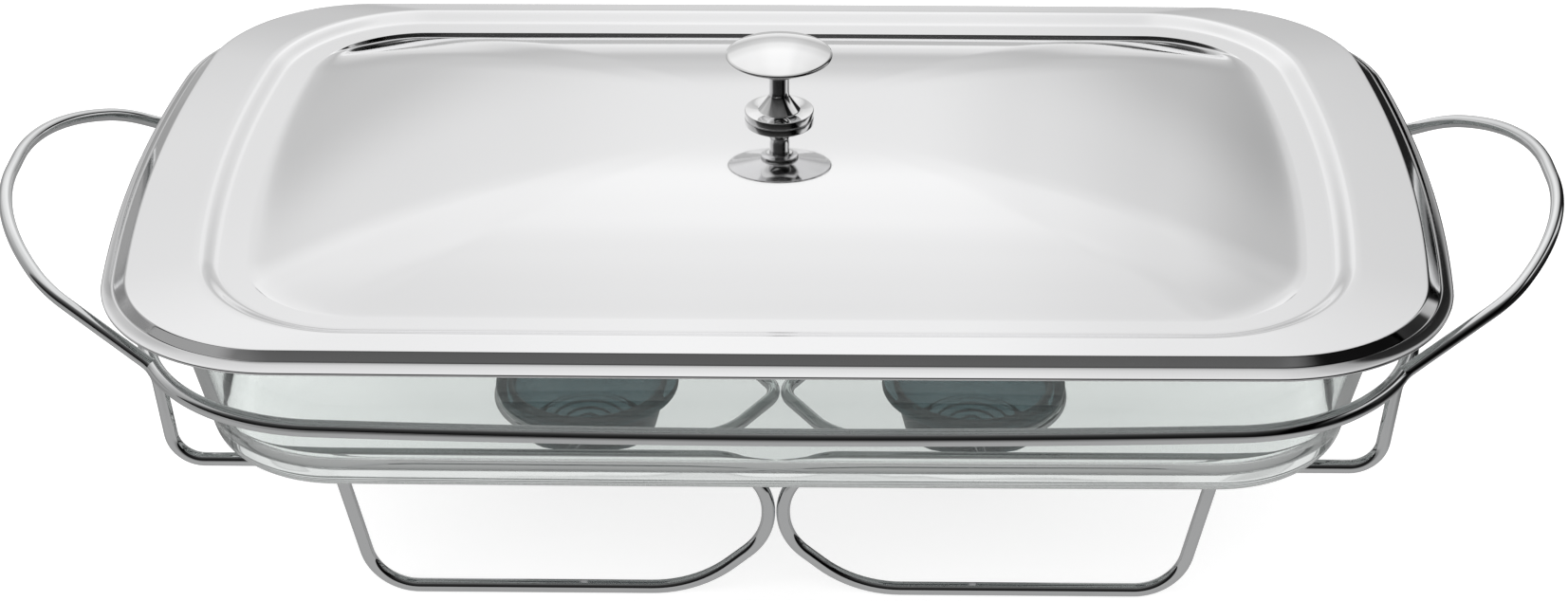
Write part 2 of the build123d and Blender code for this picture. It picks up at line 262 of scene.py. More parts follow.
@dataclass(frozen=True)
class BowedOutline:
    """Rectangle with gently bowed sides and round corners, in metres.

    Each side is one shallow arc, and each corner is an arc that touches both of its sides.
    """

    half_x: float
    half_y: float
    corner: float
    end_radius: float
    side_radius: float

    def inset(self, amount: float) -> BowedOutline:
        """The outline that lies the given amount inside this one."""
        return BowedOutline(*(size - amount for size in astuple(self)))

    def corner_center(self) -> Pair:
        """Middle of the corner's arc in the quarter of positive X and Y.

        It is where a circle of (end radius - corner) about the end's centre meets one of
        (side radius - corner) about the side's centre.

        Returns:
            Its X and Y.
        """
        end_x = self.half_x - self.end_radius
        side_y = self.half_y - self.side_radius
        to_end = self.end_radius - self.corner
        to_side = self.side_radius - self.corner
        apart = math.hypot(end_x, side_y)
        along = (to_end**2 - to_side**2 + apart**2) / (2 * apart)
        off = math.sqrt(max(to_end**2 - along**2, 0.0))
        ux, uy = -end_x / apart, side_y / apart
        return end_x + along * ux - off * uy, along * uy + off * ux

    def corner_reach(self, y: float) -> float:
        """X of the outline at a height y that lies on its round corner."""
        cx, cy = self.corner_center()
        return cx + math.sqrt(self.corner**2 - (y - cy) ** 2)

    def points(self, side_steps: int, corner_steps: int) -> np.ndarray:
        """Points of the whole outline, counterclockwise from the middle of the right end.

        Args:
            side_steps: Points on each half of a side or an end.
            corner_steps: Points on each corner.

        Returns:
            X and Y pairs, shape (n, 2).
        """
        end_x = self.half_x - self.end_radius
        side_y = self.half_y - self.side_radius
        cx, cy = self.corner_center()
        angles = (0, math.atan2(cy, cx - end_x), math.atan2(cy - side_y, cx), np.pi / 2)
        quarter = []
        for index, (x, y, radius, steps) in enumerate((
            (end_x, 0.0, self.end_radius, side_steps),
            (cx, cy, self.corner, corner_steps),
            (0.0, side_y, self.side_radius, side_steps),
        )):
            a = np.linspace(angles[index], angles[index + 1], steps, endpoint=False)
            quarter.append(np.stack([x + radius * np.cos(a), y + radius * np.sin(a)], -1))
        quarter.append([[0.0, self.half_y]])
        right = np.vstack(quarter)
        half = np.vstack([right, (right[:-1] * [-1, 1])[:0:-1]])
        return np.vstack([half, -half])


def blend(first: BowedOutline, second: BowedOutline, share: float) -> BowedOutline:
    """Outline between two others: the first at share 0, the second at share 1."""
    sizes = zip(astuple(first), astuple(second))
    return BowedOutline(*((1 - share) * a + share * b for a, b in sizes))


def eased(share: float, curve: float) -> float:
    """Straight climb from 0 to 1 whose first and last parts are curved to level.

    Args:
        share: How far along it is, from 0 to 1.
        curve: Share of the length that each curved end takes.

    Returns:
        The height, from 0 to 1.
    """
    if share < curve:
        return share**2 / (2 * curve * (1 - curve))
    if share > 1 - curve:
        return 1 - (1 - share) ** 2 / (2 * curve * (1 - curve))
    return (share - curve / 2) / (1 - curve)


def smooth(share: float | np.ndarray) -> float | np.ndarray:
    """Climb from 0 to 1 that is level at both ends: 3 s ** 2 - 2 s ** 3."""
    return share * share * (3 - 2 * share)


def raised(outline: np.ndarray, height: float) -> np.ndarray:
    """Outline of X and Y pairs as points at one height."""
    return np.column_stack([outline, np.full(len(outline), height)])


# Finishes


def set_inputs(tree: NodeTree, node: Node, inputs: dict[str | int, Any]) -> None:
    """Set or link inputs of a node.

    Args:
        tree: Tree that holds the node.
        node: The node.
        inputs: For an input, by name or place, its value or the socket that feeds it.
    """
    for label, source in inputs.items():
        if isinstance(source, NodeSocket):
            tree.links.new(source, node.inputs[label])
        else:
            node.inputs[label].default_value = source


def add_node(tree: NodeTree, kind: str, inputs: dict[str | int, Any], **settings: Any) -> Node:
    """Add a shader node.

    Args:
        tree: Tree that gets the node.
        kind: Type of the node, without the words that all of them start with.
        inputs: For an input, by name or place, its value or the socket that feeds it.
        settings: Values for the node's own properties, set first.

    Returns:
        The node.
    """
    node = tree.nodes.new(f"ShaderNode{kind}")
    for name, value in settings.items():
        setattr(node, name, value)
    set_inputs(tree, node, inputs)
    return node


def object_place(tree: NodeTree) -> NodeSocket:
    """Object coordinates of the surface."""
    return add_node(tree, "TexCoord", {}).outputs["Object"]


def noise(tree: NodeTree, scale: Any, detail: float) -> NodeSocket:
    """Level of a noise on Object coordinates, its scale in waves per metre."""
    inputs = {"Vector": object_place(tree), "Scale": scale, "Detail": detail}
    return add_node(tree, "TexNoise", inputs).outputs["Fac"]


def carried(tree: NodeTree, value: Any, limits: tuple) -> NodeSocket:
    """A value carried from the span of the first two limits to that of the last two."""
    inputs = dict(zip(("From Min", "From Max", "To Min", "To Max"), limits))
    return add_node(tree, "MapRange", {"Value": value, **inputs}).outputs["Result"]


def combine(tree: NodeTree, operation: str, first: Any, second: Any) -> NodeSocket:
    """Outcome of a Math node on two values or sockets."""
    return add_node(tree, "Math", {0: first, 1: second}, operation=operation).outputs[0]


def level_ramp(tree: NodeTree, source: NodeSocket, stops: Pairs) -> NodeSocket:
    """Smooth curve of levels over a value.

    Args:
        tree: Tree that gets the nodes.
        source: Socket with the value.
        stops: Value and level pairs in rising order of value.

    Returns:
        The socket with the level.
    """
    low, high = stops[0][0], stops[-1][0]
    ramp = add_node(tree, "ValToRGB", {"Fac": carried(tree, source, (low, high, 0.0, 1.0))})
    bar = ramp.color_ramp
    bar.interpolation = "EASE"
    for value, _ in stops[1:-1]:
        bar.elements.new((value - low) / (high - low))
    for element, (_, level) in zip(bar.elements, stops):
        element.color = (level, level, level, 1.0)
    return ramp.outputs["Color"]


def new_group(name: str, inputs: dict[str, float], outputs: tuple[str, ...]) -> tuple:
    """Empty shader node group with number sockets.

    Args:
        name: Name of the group.
        inputs: Input names with their first values.
        outputs: Output names.

    Returns:
        The tree, the sockets of its inputs by name, and its Group Output node.
    """
    tree = bpy.data.node_groups.new(name, "ShaderNodeTree")
    kind = "NodeSocketFloat"
    for label, value in inputs.items():
        tree.interface.new_socket(label, in_out="INPUT", socket_type=kind).default_value = value
    for label in outputs:
        tree.interface.new_socket(label, in_out="OUTPUT", socket_type=kind)
    given = tree.nodes.new("NodeGroupInput").outputs
    return tree, given, tree.nodes.new("NodeGroupOutput")


@cache
def handling() -> NodeTree:
    """Group for wiping marks and dust: a soft noise times a fine one, as roughness and height."""
    inputs = {"Least": 0.02, "Most": 0.1}
    tree, given, result = new_group("handling", inputs, ("Roughness", "Height"))
    soft = noise(tree, 24.0, 3.0)
    fine = noise(tree, 900.0, 2.0)
    limits = (0.12, 0.42, given["Least"], given["Most"])
    marks = carried(tree, combine(tree, "MULTIPLY", soft, fine), limits)
    set_inputs(tree, result, {"Roughness": marks, "Height": fine})
    return tree


@cache
def slow_wave() -> NodeTree:
    """Group for the unevenness of drawn sheet or pressed glass, as a height and a tint mask."""
    tree, given, result = new_group("slow_wave", {"Scale": 12.0}, ("Height", "Mask"))
    wave = noise(tree, given["Scale"], 1.0)
    mask = carried(tree, wave, (0.3, 0.7, 0.0, 1.0))
    set_inputs(tree, result, {"Height": wave, "Mask": mask})
    return tree


@dataclass(frozen=True)
class Finish:
    """Surface finish: two close tints, a span of roughness and at most one kind of relief."""

    name: str
    tint: tuple[float, float, float]
    shade: tuple[float, float, float]
    rough: Pair
    metallic: float = 0.0
    transmission: float = 0.0
    ior: float = 1.5
    wave_scale: float = 14.0
    wave_depth: float = 0.0
    grain_depth: float = 0.0

    @cache
    def material(self) -> Material:
        """Node material, built when it is first asked for."""
        made = bpy.data.materials.new(self.name)
        made.use_nodes = True
        tree = made.node_tree
        span = {"Least": self.rough[0], "Most": self.rough[1]}
        marks = add_node(tree, "Group", span, node_tree=handling())
        scale = {"Scale": self.wave_scale}
        wave = add_node(tree, "Group", scale, node_tree=slow_wave())
        tints = {"Factor": wave.outputs["Mask"], "A": (*self.tint, 1.0), "B": (*self.shade, 1.0)}
        surface = {
            "Base Color": add_node(tree, "Mix", tints, data_type="RGBA").outputs["Result"],
            "Roughness": marks.outputs["Roughness"],
            "Metallic": self.metallic,
            "Transmission Weight": self.transmission,
            "IOR": self.ior,
        }
        for depth, source in ((self.wave_depth, wave), (self.grain_depth, marks)):
            if depth > 0:
                relief = {"Distance": depth, "Height": source.outputs["Height"]}
                surface["Normal"] = add_node(tree, "Bump", relief).outputs["Normal"]
        set_inputs(tree, tree.nodes["Principled BSDF"], surface)
        return made


POLISHED_STEEL = Finish("polished_steel", (0.90, 0.90, 0.905), (0.885, 0.885, 0.892),
                        (0.04, 0.10), metallic=1.0, wave_scale=9.0, wave_depth=2.0e-5)
PLATED_WIRE = Finish("plated_wire", (0.84, 0.845, 0.85), (0.80, 0.81, 0.815), (0.02, 0.06),
                     metallic=1.0, wave_scale=60.0)
TURNED_METAL = Finish("turned_metal", (0.95, 0.95, 0.95), (0.93, 0.93, 0.935), (0.02, 0.06),
                      metallic=1.0, wave_scale=120.0)
DISH_GLASS = Finish("dish_glass", (0.90, 0.925, 0.915), (0.885, 0.91, 0.90), (0.0, 0.02),
                    transmission=1.0, wave_scale=26.0, wave_depth=6.0e-5)
# Green glass tint darkened by painted shade, for the shade that the cups hang in under the dish.
CUP_GLASS_WITH_PAINTED_SHADE = Finish("cup_glass", (0.08, 0.125, 0.135), (0.06, 0.105, 0.115), (0.0, 0.03),
                   transmission=1.0, wave_scale=90.0, wave_depth=6.0e-5)
SOFT_GASKET = Finish("soft_gasket", (0.70, 0.70, 0.67), (0.64, 0.64, 0.61), (0.45, 0.6),
                     grain_depth=1.0e-5)
BRIGHT_STEEL = Finish("bright_steel", (0.66, 0.66, 0.67), (0.6, 0.6, 0.61), (0.12, 0.25),
                      metallic=1.0, wave_scale=200.0)


def fit(piece: Object, finish: Finish, body: str, node: str) -> None:
    """Dress a piece and let it stand for a node of the frame.

    Args:
        piece: The new piece.
        finish: Its finish.
        body: Body that it rides on.
        node: Node that it replaces.
    """
    piece.data.materials.append(finish.material())
    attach(piece, body)
    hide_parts(node)
    LOG.info("%s on %s, %d faces", piece.name, body, len(piece.data.polygons))


def dress_node(node: str, finish: Finish) -> None:
    """Give a node of the frame its finish and leave its shape alone."""
    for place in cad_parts[node].material_slots:
        place.material = finish.material()
    LOG.info("%s keeps its shape", node)


# Sub-assemblies


@dataclass
class WireStand:
    """Plated wire stand: rail, handles, base wires, candle loops and their ties."""

    rail_radius: float = 2.5 * MM
    wire_radius: float = 2.0 * MM
    tie_radius: float = 1.5 * MM
    tie_drop: float = 0.8 * MM
    rail_height: float = 75.0 * MM
    rail: BowedOutline = BowedOutline(0.18596, 0.10672, 0.0588, 0.600, 2.600)
    rail_steps: tuple[int, int] = (60, 40)
    handle_turn: float = 1.5
    wire_turn: float = 4.0
    handle_tilt: float = math.radians(28.5)
    handle_corners: Pairs = ((0.0, 71.5), (36.9, 57.1), (60.2, 30.9))
    handle_radii: Pair = (31.0, 70.0)
    cradle_half_depth: float = 73.42 * MM
    cradle_height: float = 45.6 * MM
    drop_lean: float = math.radians(5.8)
    touch_gap: float = 0.15 * MM
    knee_height: float = 20.4 * MM
    hook_slope: float = math.radians(41.0)
    leg_foot: float = 117.8 * MM
    leg_top: float = 127.4 * MM
    base_radii: tuple[float, ...] = (9.4, 16.6, 18.0, 36.0, 15.6)
    candle_x: float = 60.0 * MM
    loop_half_width: float = 27.0 * MM
    loop_height: float = 23.5 * MM
    loop_neck_half_width: float = 3.0 * MM
    loop_shoulder: float = 17.0 * MM
    loop_radii: tuple[float, ...] = (10.0, 10.0, 20.0, 26.5, 26.5, 20.0)
    weld_flare: Pair = (0.22, 1.6 * MM)
    weld_spacing: float = 0.4 * MM
    weld_reach: float = 6.0 * MM
    tie_points: int = 90

    def build(self) -> None:
        """Make and dress every wire of the stand."""
        wires = {"ring_rail": self.make_rail()}
        for side in Side:
            wires[f"handle_{side.word}"] = self.make_handle(side)
            wires[f"candle_loop_{side.word}"] = self.make_loop(side)
            for end in End:
                place = f"{end.word}_{side.word}"
                wires[f"base_wire_{place}"] = self.make_base_wire(side, end)
                wires[f"loop_tie_{place}"] = self.make_tie(side, end)
        for node, wire in wires.items():
            fit(wire, PLATED_WIRE, "stand", node)

    def _welded(self, name: str, route: np.ndarray, normal: np.ndarray) -> Object:
        """Wire of the usual radius that swells at its two welded ends."""
        return tube(name, route, normal, self.wire_radius, False, self.weld_flare)

    def make_rail(self) -> Object:
        """Closed rail: the bowed outline at the rail's height, carried round as a tube."""
        route = raised(self.rail.points(*self.rail_steps), self.rail_height)
        return tube("rail", route, np.array([0.0, 0.0, 1.0]), self.rail_radius, True)

    def make_handle(self, side: Side) -> Object:
        """Loop handle in a plane that rises outwards.

        A point (u, v) of the plane lies at root + u (cos tilt, 0, sin tilt) + v (0, 1, 0).

        Args:
            side: Which end of the dish it is on.

        Returns:
            The handle, its two ends inside the rail.
        """
        half = np.array(self.handle_corners) * MM
        flat = np.vstack([half, (half * [1, -1])[::-1]])
        out = np.array([math.cos(self.handle_tilt), 0.0, math.sin(self.handle_tilt)])
        corners = flat[:, :1] * out + flat[:, 1:] * np.array([0.0, 1.0, 0.0])
        root = self.rail.corner_reach(half[0, 1])
        corners += np.array([root, 0.0, self.rail_height])
        radii = np.array(self.handle_radii + self.handle_radii[::-1]) * MM
        route = rounded(corners, radii, False, self.handle_turn)
        normal = np.array([-out[2], 0.0, out[0]])
        mirror = np.array([side.value, 1.0, 1.0])
        route = self._densify(route) * mirror
        return self._welded(f"handle_loop_{side.word}", route, normal * mirror)

    def _densify(self, route: np.ndarray) -> np.ndarray:
        """Add points near both ends of a route so that its welds can swell smoothly.

        Args:
            route: Middle line in metres, shape (n, 3).

        Returns:
            The middle line with more points.
        """
        spots = np.arange(self.weld_spacing, self.weld_reach, self.weld_spacing)[:, None]
        added = []
        for end, near in ((route[0], route[1]), (route[-1], route[-2])):
            span = np.linalg.norm(near - end)
            added.append(end + (near - end) / span * spots[spots[:, 0] < span])
        return np.vstack([route[:1], added[0], route[1:-1], added[1][::-1], route[-1:]])

    def make_base_wire(self, side: Side, end: End) -> Object:
        """Bent wire of one quarter: drop, cradle run, middle hook, floor run and leg.

        The route lies in the upright plane y = -depth, drawn as X and Z pairs.

        Args:
            side: Left or right.
            end: Front or rear.

        Returns:
            The wire, its ends inside the rail and the cradle run.
        """
        hook = self.wire_radius + self.touch_gap
        floor, cradle = self.wire_radius, self.cradle_height
        top = self.rail.corner_reach(self.cradle_half_depth)
        foot = top - (self.rail_height - cradle) * math.tan(self.drop_lean)
        toe = hook + (self.knee_height - floor) / math.tan(self.hook_slope)
        flat = [(top, self.rail_height), (foot, cradle), (hook, cradle), (hook, self.knee_height),
                (toe, floor), (self.leg_foot, floor), (self.leg_top, cradle)]
        corners = np.insert(np.array(flat), 1, -self.cradle_half_depth, axis=1)
        radii = np.array(self.base_radii) * MM
        route = self._densify(rounded(corners, radii, False, self.wire_turn))
        mirror = np.array([side.value, -end.value, 1.0])
        name = f"base_{end.word}_{side.word}"
        return self._welded(name, route * mirror, np.array([0.0, 1.0, 0.0]))

    def make_loop(self, side: Side) -> Object:
        """Flat teardrop loop round a candle cup, its neck at the middle of the stand.

        Args:
            side: Left or right.

        Returns:
            The loop as a closed ring.
        """
        far = self.candle_x + self.loop_half_width
        neck = self.wire_radius + self.touch_gap
        wide, narrow = self.loop_half_width, self.loop_neck_half_width
        flat = np.array([(neck, -narrow), (neck, narrow), (self.loop_shoulder, wide), (far, wide),
                         (far, -wide), (self.loop_shoulder, -wide)])
        corners, radii = raised(flat, self.loop_height), np.array(self.loop_radii) * MM
        route = rounded(corners, radii, True, self.wire_turn)
        mirror = np.array([side.value, 1.0, 1.0])
        return tube(f"cup_loop_{side.word}", route * mirror, np.array([0.0, 0.0, 1.0]),
                    self.wire_radius, True)

    def make_tie(self, side: Side, end: End) -> Object:
        """Straight tie from a candle loop up to the cradle run.

        Args:
            side: Left or right.
            end: Front or rear.

        Returns:
            The tie, its ends inside the two wires.
        """
        low = np.array([self.candle_x, -self.loop_half_width, self.loop_height - self.tie_drop])
        high = np.array([self.candle_x, -self.cradle_half_depth, self.cradle_height])
        route = low + (high - low) * np.linspace(0, 1, self.tie_points)[:, None]
        mirror = np.array([side.value, -end.value, 1.0])
        return tube(f"tie_{end.word}_{side.word}", route * mirror, np.array([1.0, 0.0, 0.0]),
                    self.tie_radius, False, self.weld_flare)


@dataclass
class GlassDish:
    """Deep glass dish with flared walls and a flat rim hidden under the lid."""

    base: BowedOutline = BowedOutline(0.1663, 0.0944, 0.038, 0.520, 20.0)
    mouth: BowedOutline = BowedOutline(0.1827, 0.109, 0.068, 0.560, 20.0)
    rim: BowedOutline = BowedOutline(0.1862, 0.1124, 0.0470, 0.5752, 19.995)
    underside: float = 47.9 * MM
    mouth_height: float = 105.9 * MM
    rim_top: float = 104.8 * MM
    wall: float = 4.0 * MM
    floor: float = 5.5 * MM
    outer_fillet: float = 6.5 * MM
    inner_fillet: float = 9.0 * MM
    rim_thickness: float = 4.6 * MM
    rim_edge: float = 2.0 * MM
    mouth_fillet: float = 6.0 * MM
    hub: float = 0.05
    fillet_steps: int = 14
    edge_steps: int = 7
    flat_steps: int = 8
    columns: tuple[int, int] = (36, 30)

    def build(self) -> None:
        """Make and dress the dish."""
        fit(self.make_dish(), DISH_GLASS, "dish", "glass_dish")

    def loop(self, inset: float, height: float) -> np.ndarray:
        """Loop of the wall at a height, moved in from the outer face by an inset.

        Args:
            inset: How far it lies inside the outer face.
            height: Its height; the outline changes evenly from the underside to the mouth.

        Returns:
            Positions, shape (columns, 3).
        """
        share = (height - self.underside) / (self.mouth_height - self.underside)
        mixed = blend(self.base.inset(inset), self.mouth.inset(inset), share)
        return raised(mixed.points(*self.columns), height)

    def make_dish(self) -> Object:
        """Stack of outlines from the middle of the underside, up the wall and down inside.

        Returns:
            The dish.
        """
        under, top, edge = self.underside, self.rim_top, self.rim_edge
        base = under + self.floor
        outer, inner, fillet = self.outer_fillet, self.inner_fillet, self.mouth_fillet
        rim_low, low = top - self.rim_thickness, base + inner
        turns, flat = self.fillet_steps, np.array([1.0, 1.0, 0.0])
        bead = np.vstack([arc((edge, rim_low + edge), edge, -90, -180, self.edge_steps),
                          arc((edge, top - edge), edge, 180, 90, self.edge_steps)])
        start, lift = self.loop(outer, under), np.array([0.0, 0.0, under])
        shares = np.linspace(self.hub, 1, self.flat_steps, endpoint=False)
        loops = [start * flat * share + lift for share in shares]
        loops += [self.loop(*spot) for spot in arc((outer, under + outer), outer, -90, -180, turns)]
        loops += [self.loop(0.0, z) for z in np.linspace(under + outer, rim_low, turns)[1:]]
        loops += [raised(self.rim.inset(inset).points(*self.columns), z) for inset, z in bead]
        mouth = arc((self.wall - fillet, top - fillet), fillet, 90, 0, turns)
        loops += [self.loop(*spot) for spot in mouth]
        loops += [self.loop(self.wall, z) for z in np.linspace(top - fillet, low, turns)[1:-1]]
        foot = arc((self.wall + inner, low), inner, 180, 270, turns)
        loops += [self.loop(*spot) for spot in foot]
        last, lift = loops[-1], np.array([0.0, 0.0, base])
        shares = np.linspace(1, self.hub, self.flat_steps)[1:]
        loops += [last * flat * share + lift for share in shares]
        return closed_loft("dish", np.stack(loops))


@dataclass
class CandleCup:
    """Pressed glass cup that hangs by its rim in a wire loop."""

    center: float = 60.0 * MM
    seat: float = 25.8 * MM
    rim_radius: float = 28.4 * MM
    rim_thickness: float = 2.6 * MM
    neck_radius: float = 24.6 * MM
    base_radius: float = 21.0 * MM
    height: float = 18.5 * MM
    wall: float = 1.8 * MM
    floor: float = 2.6 * MM
    base_fillet: float = 3.0 * MM
    rings: tuple[float, ...] = (4.0, 8.0, 12.0, 16.0)
    ring_height: float = 0.5 * MM
    ring_reach: float = 0.84 * MM
    ring_points: int = 120
    bead_share: float = 0.42
    inner_fillet: float = 1.5 * MM
    foot_flare: float = 0.3 * MM
    neck_relief: float = 0.4 * MM
    hub_radius: float = 0.4 * MM
    segments: int = 128

    def build(self) -> None:
        """Make and dress both cups."""
        for side in Side:
            body, node = f"cup_{side.word}", f"candle_cup_{side.word}"
            fit(self.make_cup(side), CUP_GLASS_WITH_PAINTED_SHADE, body, node)

    def make_cup(self, side: Side) -> Object:
        """Turn the cup's profile: base, flared wall, rim, then the inside with its rings.

        With d the distance from the nearest ring's middle, a ring's height is
        1 - (d / reach) ** 2 of the full one.

        Args:
            side: Left or right.

        Returns:
            The cup.
        """
        top, seat = self.seat + self.rim_thickness, self.seat
        low = top - self.height
        floor = low + self.floor
        bead = self.rim_thickness * self.bead_share
        fillet, inside = self.base_fillet, self.inner_fillet
        base, neck, rim = self.base_radius, self.neck_radius, self.rim_radius
        inner_base, inner_neck = base - self.wall, neck - self.wall
        radius = np.linspace(inner_base - inside, self.hub_radius, self.ring_points)
        near = np.abs(radius[:, None] - np.array(self.rings) * MM).min(axis=1)
        crest = np.clip(1 - (near / self.ring_reach) ** 2, 0, None) * self.ring_height
        profile = np.vstack([
            straight((self.hub_radius, low), (base - fillet, low), 8),
            arc((base - fillet, low + fillet), fillet, -90, -12, 8),
            straight((base + self.foot_flare, low + fillet), (neck, seat), 8),
            straight((neck + self.neck_relief, seat), (rim - bead, seat), 4),
            arc((rim - bead, seat + bead), bead, -80, 0, 6),
            arc((rim - bead, top - bead), bead, 0, 90, 6),
            straight((rim - 2 * bead, top), (inner_neck + bead, top), 4),
            arc((inner_neck + bead, top - bead), bead, 100, 180, 6),
            straight((inner_neck, seat), (inner_base, floor + inside), 10),
            arc((inner_base - inside, floor + inside), inside, -15, -80, 6),
            np.stack([radius, floor + crest], axis=-1),
        ])
        place = (side.value * self.center, 0.0)
        return closed_loft(f"cup_{side.word}", turned(profile, place, self.segments))


@dataclass
class DomedLid:
    """Drawn steel lid: lip, skirt, sloping border, pressed step, valley and crowned panel."""

    lip: BowedOutline = BowedOutline(0.195, 0.1176, 0.0558, 0.584, 20.0)
    border: BowedOutline = BowedOutline(0.1869, 0.1139, 0.0462, 0.5759, 19.9963)
    step: BowedOutline = BowedOutline(0.168, 0.1065, 0.048, 0.500, 20.0)
    thickness: float = 0.8 * MM
    lip_height: float = 100.0 * MM
    lip_width: float = 3.2 * MM
    lip_rise: float = 1.6 * MM
    border_height: float = 105.9 * MM
    skirt_round: float = 0.16
    step_height: float = 107.0 * MM
    step_width: float = 6.2 * MM
    step_drop: float = 2.2 * MM
    valley_width: float = 6.8 * MM
    seam_drop: float = 1.4 * MM
    seam_width: float = 0.7 * MM
    seam_start: float = 0.8
    seam_fade: float = 0.17
    seam_round: float = 0.25
    dome_rise: float = 16.4 * MM
    dome_power: float = 2.8
    dome_foot: float = 0.06
    seat_radius: float = 12.0 * MM
    hole_radius: float = 2.2 * MM
    lip_power: float = 1.5
    lip_shift: float = 0.25
    border_shift: float = 0.6
    step_shift: float = -0.5
    slope_shares: tuple[float, ...] = (0.05, 0.12, 0.3, 0.6, 0.9)
    lip_steps: int = 9
    skirt_steps: int = 28
    step_steps: int = 14
    valley_steps: int = 8
    seam_steps: int = 11
    hole_steps: int = 5
    outer_rows: int = 90
    inner_rows: int = 20
    columns: tuple[int, int] = (32, 30)

    def build(self) -> None:
        """Make and dress the lid."""
        fit(self.make_shell(), POLISHED_STEEL, "lid", "lid_shell")

    def upper_profile(self, offset: float) -> list[tuple[BowedOutline, float]]:
        """Outlines with their heights from the lip's edge to the end of the valley.

        The lip rises as share ** power. The skirt is straight and turns into the lip and into
        the border in a short curve at each end. In a lower face the lip, the border and the step
        also move in by their shifts, as shares of the offset, to keep the steep walls thick.

        Args:
            offset: How far the face lies below the upper one; 0 for the upper face.

        Returns:
            Outline and height pairs, from the outside to the valley's inner edge.
        """
        low = self.lip_height + self.thickness - offset
        foot, edge = low + self.lip_rise, self.border_height - offset
        top = self.step_height - offset
        lip = self.lip.inset(self.lip_shift * offset)
        border = self.border.inset(self.border_shift * offset)
        step = self.step.inset(self.step_shift * offset)
        inner_lip = lip.inset(self.lip_width)
        rows = []
        for share in np.linspace(0, 1, self.lip_steps):
            height = low + self.lip_rise * share**self.lip_power
            rows.append((blend(lip, inner_lip, share), height))
        for share in np.linspace(0, 1, self.skirt_steps)[1:]:
            height = foot + (edge - foot) * eased(share, self.skirt_round)
            rows.append((blend(inner_lip, border, share), height))
        for share in self.slope_shares:
            rows.append((blend(border, step, share), edge + (top - edge) * share))
        for share in np.linspace(0, 1, self.step_steps):
            height = top - self.step_drop * smooth(share)
            rows.append((step.inset(self.step_width * share), height))
        for share in np.linspace(0, 1, self.valley_steps)[1:]:
            outline = self.step.inset(self.step_width + self.valley_width * share)
            rows.append((outline, top - self.step_drop))
        return rows

    def seam(self, offset: float) -> list[np.ndarray]:
        """Steep small drop between the valley and the crowned panel.

        It is full along both sides and dies out round the corners: with v the distance from the
        middle as a share of the half depth, its depth is the smooth step of (v - start) / fade.

        Args:
            offset: How far the face lies below the upper one; 0 for the upper face.

        Returns:
            Loops from the outside inwards, each of shape (columns, 3).
        """
        edge = self.step_width + self.valley_width + self.step_shift * offset
        valley = self.step_height - offset - self.step_drop
        loops = []
        for share in np.linspace(0, 1, self.seam_steps):
            outline = self.step.inset(edge + self.seam_width * share)
            loop = raised(outline.points(*self.columns), valley)
            reach = np.abs(loop[:, 1]) / outline.half_y - self.seam_start
            depth = self.seam_drop * smooth(np.clip(reach / self.seam_fade, 0, 1))
            loops.append(loop - depth[:, None] * [0.0, 0.0, eased(share, self.seam_round)])
        return loops

    def face(self, offset: float, dome_rows: int) -> list[np.ndarray]:
        """Loops of one face of the sheet from the lip to the screw hole.

        On the crowned panel a loop at share s lies between the seat's circle (s = 0) and the
        panel's foot (s = 1). With x = 1 - s ** power its share of the climb from the foot to the
        crown is (hypot(x, e) - e) / (hypot(1, e) - e), which rounds the foot.

        Args:
            offset: How far the face lies inside the outer one.
            dome_rows: Number of loops from the panel's foot to the seat.

        Returns:
            Loops from the outside inwards, each of shape (columns, 3).
        """
        loops = [raised(o.points(*self.columns), z) for o, z in self.upper_profile(offset)]
        loops += self.seam(offset)
        foot = loops[-1]
        crown = self.step_height - offset - self.step_drop + self.dome_rise
        angle = np.arctan2(foot[:, 1] / self.step.half_y, foot[:, 0] / self.step.half_x)
        circle = np.column_stack([np.cos(angle), np.sin(angle)])
        full = math.hypot(1, self.dome_foot) - self.dome_foot
        for share in np.linspace(1, 0, dome_rows)[1:]:
            flat = circle * self.seat_radius * (1 - share) + foot[:, :2] * share
            climb = math.hypot(1 - share**self.dome_power, self.dome_foot) - self.dome_foot
            height = foot[:, 2] + (crown - foot[:, 2]) * climb / full
            loops.append(np.column_stack([flat, height]))
        for radius in np.linspace(self.seat_radius, self.hole_radius, self.hole_steps)[1:]:
            loops.append(raised(circle * radius, crown))
        return loops

    def make_shell(self) -> Object:
        """Outer face inwards, through the screw hole, and the inner face back to the lip."""
        outer = self.face(0.0, self.outer_rows)
        inner = self.face(self.thickness, self.inner_rows)
        return closed_loft("lid", np.stack(outer + inner[::-1]), ring=True)


